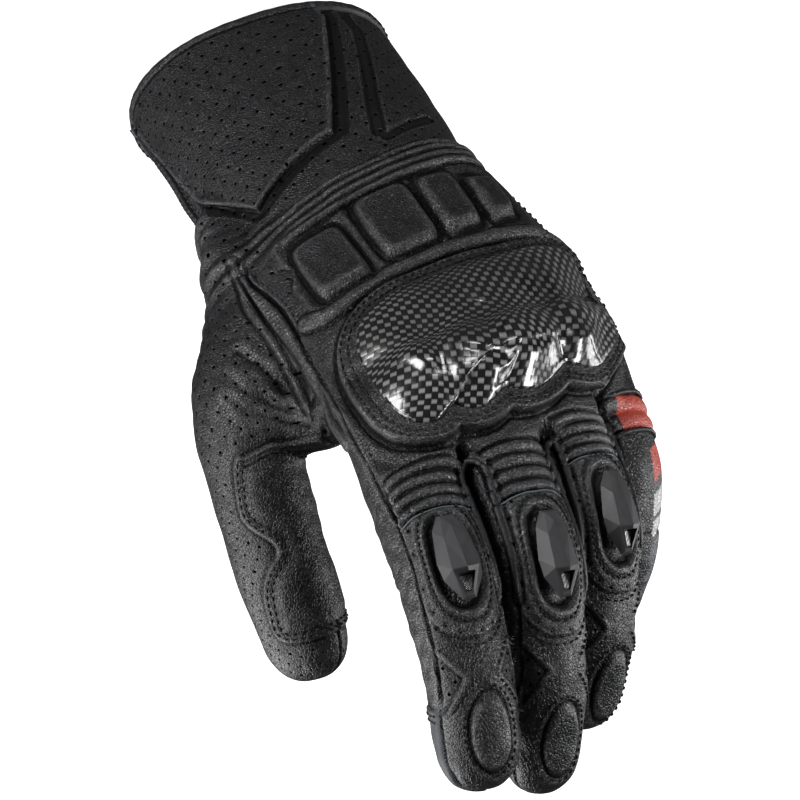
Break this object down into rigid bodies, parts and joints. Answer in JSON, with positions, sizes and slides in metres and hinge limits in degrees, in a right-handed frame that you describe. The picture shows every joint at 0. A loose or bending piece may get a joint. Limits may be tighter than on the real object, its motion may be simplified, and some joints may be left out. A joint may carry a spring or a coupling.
{
  "type": "motorcycle riding glove, left hand",
  "caption": "Short leather riding glove for the left hand with a carbon knuckle guard, finger sliders, ribbed stretch panels and jointed fingers, thumb, wrist and closure flap.",
  "frame": {"origin": "the middle of the bounding box's bottom, in the plane of the cuff's rim, on which the glove stands", "axes": "+Z from the cuff's rim towards the fingers, -Y out of the back of the hand, +X towards the thumb's side"},
  "size_m": [0.1288, 0.1208, 0.2581],
  "materials": {
    "leather": "grained black goat leather, satin",
    "perforated_leather": "black leather with rows of small holes, satin",
    "edge_binding": "rolled black leather binding",
    "hook_and_loop": "black hook-and-loop fastener",
    "palm_leather": "black palm leather, fine nap",
    "carbon": "carbon weave under a thick clear coat",
    "foam": "black closed-cell foam",
    "slider": "dark grey thermoplastic, matte",
    "vent_mesh": "woven silver wire mesh",
    "red_leather": "red-orange leather ribs",
    "touch_fabric": "blue-grey conductive fabric"
  },
  "bodies": {
    "cuff": {"cuff_shell": "perforated_leather", "cuff_edge_binding": "edge_binding", "wrist_rib_band": "leather", "closure_loop_patch": "hook_and_loop"},
    "closure_flap": {"closure_flap": "leather", "closure_hook_patch": "hook_and_loop"},
    "hand": {"hand_back_panel": "leather", "palm_panel": "palm_leather", "knuckle_guard": "carbon", "knuckle_guard_bezel": "leather", "knuckle_guard_foam": "foam", "back_pad_1": "leather", "back_pad_2": "leather", "back_pad_3": "leather", "back_pad_4": "leather"},
    "thumb_1": {"thumb_base_shell": "perforated_leather"},
    "thumb_2": {"thumb_proximal_shell": "perforated_leather", "thumb_overlay": "leather"},
    "thumb_3": {"thumb_distal_shell": "perforated_leather"},
    "index_1": {"index_proximal_shell": "leather", "index_rib_panel": "leather"},
    "index_2": {"index_middle_shell": "leather"},
    "index_3": {"index_distal_shell": "leather", "index_tip_pad": "leather", "index_touch_patch": "touch_fabric"},
    "index_slider": {"index_slider_cap": "slider", "index_slider_mesh": "vent_mesh"},
    "middle_1": {"middle_proximal_shell": "leather", "middle_rib_panel": "leather"},
    "middle_2": {"middle_middle_shell": "leather"},
    "middle_3": {"middle_distal_shell": "leather", "middle_tip_pad": "leather"},
    "middle_slider": {"middle_slider_cap": "slider", "middle_slider_mesh": "vent_mesh"},
    "ring_1": {"ring_proximal_shell": "leather", "ring_rib_panel": "leather"},
    "ring_2": {"ring_middle_shell": "leather"},
    "ring_3": {"ring_distal_shell": "leather", "ring_tip_pad": "leather"},
    "ring_slider": {"ring_slider_cap": "slider", "ring_slider_mesh": "vent_mesh"},
    "little_1": {"little_proximal_shell": "leather", "little_rib_panel": "red_leather"},
    "little_2": {"little_middle_shell": "leather"},
    "little_3": {"little_distal_shell": "leather"}
  },
  "joints": [
    {"name": "wrist_bend", "type": "hinge", "parent": "cuff", "child": "hand", "pos_m": [-0.00294, -0.02682, 0.08348], "axis": [-0.9553, -0.2588, -0.1428], "range_deg": [-25, 25], "stiffness_Nm_per_rad": 0.25},
    {"name": "closure_open", "type": "hinge", "parent": "cuff", "child": "closure_flap", "pos_m": [-0.03737, -0.01836, 0.04093], "axis": [-0.1478, 0, 0.989], "range_deg": [0, 95], "stiffness_Nm_per_rad": 0.02},
    {"name": "index_knuckle", "type": "hinge", "parent": "hand", "child": "index_1", "pos_m": [0.01952, -0.02442, 0.16935], "axis": [-0.9816, 0.1219, -0.1467], "range_deg": [-8, 42], "stiffness_Nm_per_rad": 0.12},
    {"name": "index_middle_joint", "type": "hinge", "parent": "index_1", "child": "index_2", "pos_m": [0.01773, -0.00926, 0.21269], "axis": [-0.9816, 0.1219, -0.1467], "range_deg": [-14, 48], "stiffness_Nm_per_rad": 0.08},
    {"name": "index_tip_joint", "type": "hinge", "parent": "index_2", "child": "index_3", "pos_m": [0.01713, 0.00688, 0.23551], "axis": [-0.9816, 0.1219, -0.1467], "range_deg": [-8.41, 28.81], "stiffness_Nm_per_rad": 0.05},
    {"name": "index_slider_float", "type": "hinge", "parent": "index_1", "child": "index_slider", "pos_m": [0.01773, -0.00926, 0.21269], "axis": [-0.9816, 0.1219, -0.1467], "range_deg": [-7.01, 24.01], "stiffness_Nm_per_rad": 0.02},
    {"name": "middle_knuckle", "type": "hinge", "parent": "hand", "child": "middle_1", "pos_m": [-0.00607, -0.02902, 0.16734], "axis": [-0.9816, 0.1219, -0.1467], "range_deg": [-8, 42], "stiffness_Nm_per_rad": 0.12},
    {"name": "middle_middle_joint", "type": "hinge", "parent": "middle_1", "child": "middle_2", "pos_m": [-0.00836, -0.0075, 0.21342], "axis": [-0.9816, 0.1219, -0.1467], "range_deg": [-20, 48], "stiffness_Nm_per_rad": 0.08},
    {"name": "middle_tip_joint", "type": "hinge", "parent": "middle_2", "child": "middle_3", "pos_m": [-0.00668, 0.01654, 0.23437], "axis": [-0.9816, 0.1219, -0.1467], "range_deg": [-12.01, 28.81], "stiffness_Nm_per_rad": 0.05},
    {"name": "middle_slider_float", "type": "hinge", "parent": "middle_1", "child": "middle_slider", "pos_m": [-0.00836, -0.0075, 0.21342], "axis": [-0.9816, 0.1219, -0.1467], "range_deg": [-10.01, 24.01], "stiffness_Nm_per_rad": 0.02},
    {"name": "ring_knuckle", "type": "hinge", "parent": "hand", "child": "ring_1", "pos_m": [-0.02937, -0.02542, 0.15749], "axis": [-0.9768, 0.1564, -0.146], "range_deg": [-8, 42], "stiffness_Nm_per_rad": 0.12},
    {"name": "ring_middle_joint", "type": "hinge", "parent": "ring_1", "child": "ring_2", "pos_m": [-0.03183, -0.0053, 0.19978], "axis": [-0.9768, 0.1564, -0.146], "range_deg": [-20, 48], "stiffness_Nm_per_rad": 0.08},
    {"name": "ring_tip_joint", "type": "hinge", "parent": "ring_2", "child": "ring_3", "pos_m": [-0.02891, 0.01782, 0.21854], "axis": [-0.9768, 0.1564, -0.146], "range_deg": [-12.01, 28.81], "stiffness_Nm_per_rad": 0.05},
    {"name": "ring_slider_float", "type": "hinge", "parent": "ring_1", "child": "ring_slider", "pos_m": [-0.03183, -0.0053, 0.19978], "axis": [-0.9768, 0.1564, -0.146], "range_deg": [-10.01, 24.01], "stiffness_Nm_per_rad": 0.02},
    {"name": "little_knuckle", "type": "hinge", "parent": "hand", "child": "little_1", "pos_m": [-0.04974, -0.01822, 0.14494], "axis": [-0.9674, 0.2079, -0.1446], "range_deg": [-8, 40], "stiffness_Nm_per_rad": 0.12},
    {"name": "little_middle_joint", "type": "hinge", "parent": "little_1", "child": "little_2", "pos_m": [-0.05199, 0.00074, 0.17764], "axis": [-0.9674, 0.2079, -0.1446], "range_deg": [-20, 46], "stiffness_Nm_per_rad": 0.08},
    {"name": "little_tip_joint", "type": "hinge", "parent": "little_2", "child": "little_3", "pos_m": [-0.04908, 0.01989, 0.18988], "axis": [-0.9674, 0.2079, -0.1446], "range_deg": [-12.01, 27.61], "stiffness_Nm_per_rad": 0.05},
    {"name": "thumb_base", "type": "hinge", "parent": "hand", "child": "thumb_1", "pos_m": [0.02761, -0.0153, 0.09949], "axis": [0.6707, 0.5602, -0.4861], "range_deg": [-14, 6], "stiffness_Nm_per_rad": 0.15},
    {"name": "thumb_knuckle", "type": "hinge", "parent": "thumb_1", "child": "thumb_2", "pos_m": [0.04965, 0.00018, 0.13078], "axis": [0.6707, 0.5602, -0.4861], "range_deg": [-32, 8], "stiffness_Nm_per_rad": 0.1},
    {"name": "thumb_tip_joint", "type": "hinge", "parent": "thumb_2", "child": "thumb_3", "pos_m": [0.04765, 0.02886, 0.15968], "axis": [0.6707, 0.5602, -0.4861], "range_deg": [-42, 10], "stiffness_Nm_per_rad": 0.06}
  ],
  "couplings": [
    {"joint": "index_tip_joint", "follows": "index_middle_joint", "ratio": 0.6},
    {"joint": "index_slider_float", "follows": "index_middle_joint", "ratio": 0.5},
    {"joint": "middle_tip_joint", "follows": "middle_middle_joint", "ratio": 0.6},
    {"joint": "middle_slider_float", "follows": "middle_middle_joint", "ratio": 0.5},
    {"joint": "ring_tip_joint", "follows": "ring_middle_joint", "ratio": 0.6},
    {"joint": "ring_slider_float", "follows": "ring_middle_joint", "ratio": 0.5},
    {"joint": "little_tip_joint", "follows": "little_middle_joint", "ratio": 0.6}
  ]
}
